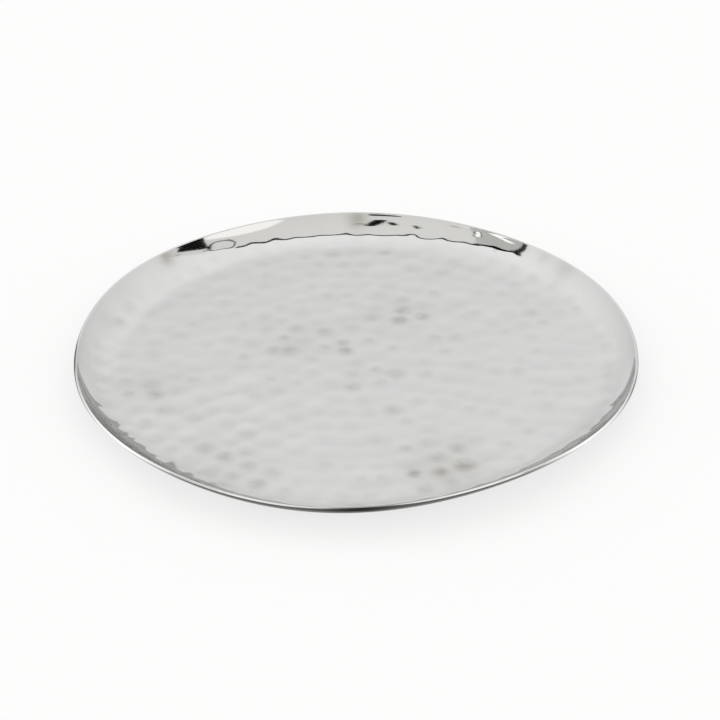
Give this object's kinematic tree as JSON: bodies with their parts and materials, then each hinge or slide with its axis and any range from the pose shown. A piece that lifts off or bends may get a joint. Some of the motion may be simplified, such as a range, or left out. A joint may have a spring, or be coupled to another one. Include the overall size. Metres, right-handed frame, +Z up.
{
  "type": "round serving tray",
  "caption": "Shallow round serving tray of hammered, polished steel: a beaten dish whose edge is folded round a wire into a hem, over a smooth base shell on soft pads.",
  "frame": {"origin": "centre of the tray, on the surface it stands on", "axes": "+Z up out of the dish, +X to the right and +Y to the back as the picture sees it"},
  "size_m": [0.35, 0.35, 0.0217],
  "materials": {
    "polished_steel": "hammered stainless steel, mirror polished",
    "satin_steel": "smooth spun stainless steel, satin",
    "drawn_wire": "drawn steel wire",
    "silicone": "cloudy moulded silicone"
  },
  "bodies": {
    "root": {"hammered_dish": "polished_steel", "base_shell": "satin_steel", "rim_wire": "drawn_wire", "foot_pad_front_left": "silicone", "foot_pad_front_right": "silicone", "foot_pad_back_left": "silicone", "foot_pad_back_right": "silicone"}
  },
  "joints": []
}
